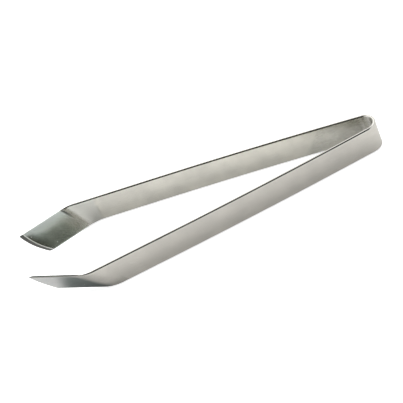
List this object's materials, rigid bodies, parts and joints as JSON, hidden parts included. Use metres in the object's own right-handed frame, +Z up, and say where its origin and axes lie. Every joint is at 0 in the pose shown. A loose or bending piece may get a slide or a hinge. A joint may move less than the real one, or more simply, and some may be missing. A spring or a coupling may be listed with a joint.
{
  "type": "stamp tongs",
  "caption": "Sprung steel tongs folded from a flat strip round a small bow; broad, obliquely cranked blades with bevelled ends close flat on a stamp.",
  "frame": {"origin": "halfway along the tongs, midway between the arms, in the plane of the strip's lower edge that the tongs rest on", "axes": "+X from the blades to the bow, +Y from the front arm to the back arm, +Z up across the strip's width"},
  "size_m": [0.1202, 0.0344, 0.0116],
  "materials": {
    "steel": "satin stainless steel with eased, polished edges"
  },
  "bodies": {
    "bow": {"spring_bow": "steel", "front_bow_leg": "steel", "back_bow_leg": "steel"},
    "front_arm": {"front_spring_leg": "steel", "front_grip": "steel", "front_crank": "steel", "front_blade": "steel"},
    "back_arm": {"back_spring_leg": "steel", "back_grip": "steel", "back_crank": "steel", "back_blade": "steel"}
  },
  "joints": [
    {"name": "front_arm_flex", "type": "hinge", "parent": "bow", "child": "front_arm", "pos_m": [0.04218, -0.00577, 0.005], "axis": [0, 0, -1], "range_deg": [-2, 5.2], "stiffness_Nm_per_rad": 3},
    {"name": "back_arm_flex", "type": "hinge", "parent": "bow", "child": "back_arm", "pos_m": [0.04218, 0.00577, 0.005], "axis": [0, 0, 1], "range_deg": [-2, 5.2], "stiffness_Nm_per_rad": 3}
  ],
  "couplings": [
    {"joint": "back_arm_flex", "follows": "front_arm_flex", "ratio": 1}
  ]
}
